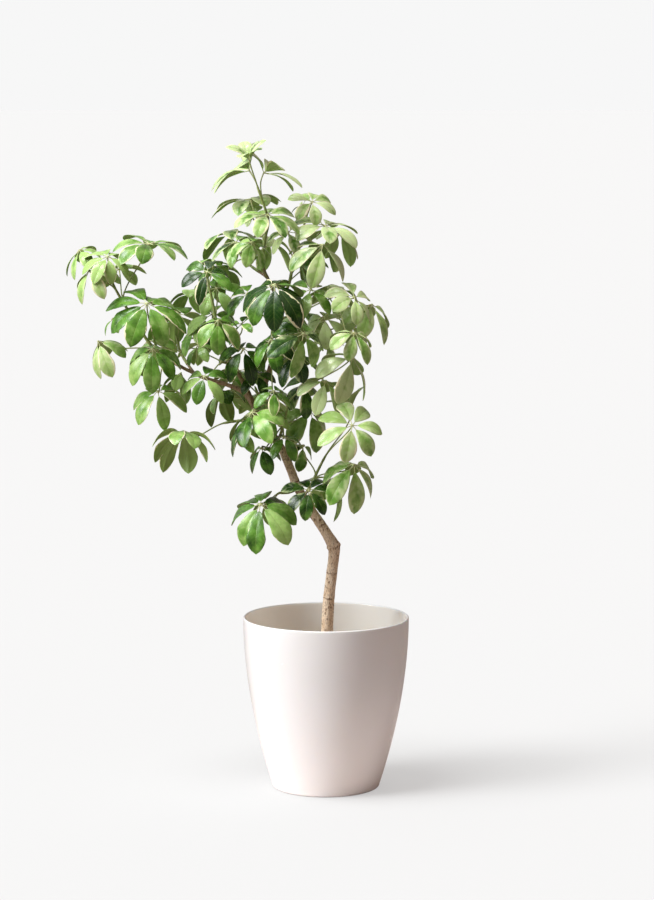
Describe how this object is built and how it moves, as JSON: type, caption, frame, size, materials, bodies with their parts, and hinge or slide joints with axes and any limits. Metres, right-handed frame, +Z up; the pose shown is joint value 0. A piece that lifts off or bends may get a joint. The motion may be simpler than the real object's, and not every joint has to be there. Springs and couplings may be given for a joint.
{
  "type": "potted umbrella tree",
  "caption": "Variegated dwarf umbrella tree with a bare, slightly crooked trunk and shoots of cream-edged palmate leaves, growing in a tapered round glossy white planter.",
  "frame": {"origin": "centre of the planter's flat underside", "axes": "+Z up along the planter's axis, +X to the viewer's right in the front view, +Y away from the viewer; the crown leans towards -X"},
  "size_m": [0.6154, 0.3454, 1.1616],
  "materials": {
    "planter": "glossy warm white",
    "potting_soil": "matte, crumbly",
    "trunk": "smooth pale bark",
    "leaves": "waxy satin, green with broken cream margins"
  },
  "bodies": {
    "root": {"planter": "planter", "potting_soil": "potting_soil", "trunk": "trunk", "shoot_back_left": "leaves", "shoot_back_low": "leaves", "shoot_back_right": "leaves", "shoot_back_upper": "leaves", "shoot_centre_front": "leaves", "shoot_centre_left": "leaves", "shoot_far_left": "leaves", "shoot_fork_left": "leaves", "shoot_fork_right": "leaves", "shoot_left_front": "leaves", "shoot_left_limb": "leaves", "shoot_low_left": "leaves", "shoot_low_right": "leaves", "shoot_right": "leaves", "shoot_right_upper": "leaves", "shoot_top": "leaves", "shoot_top_right": "leaves"}
  },
  "joints": []
}
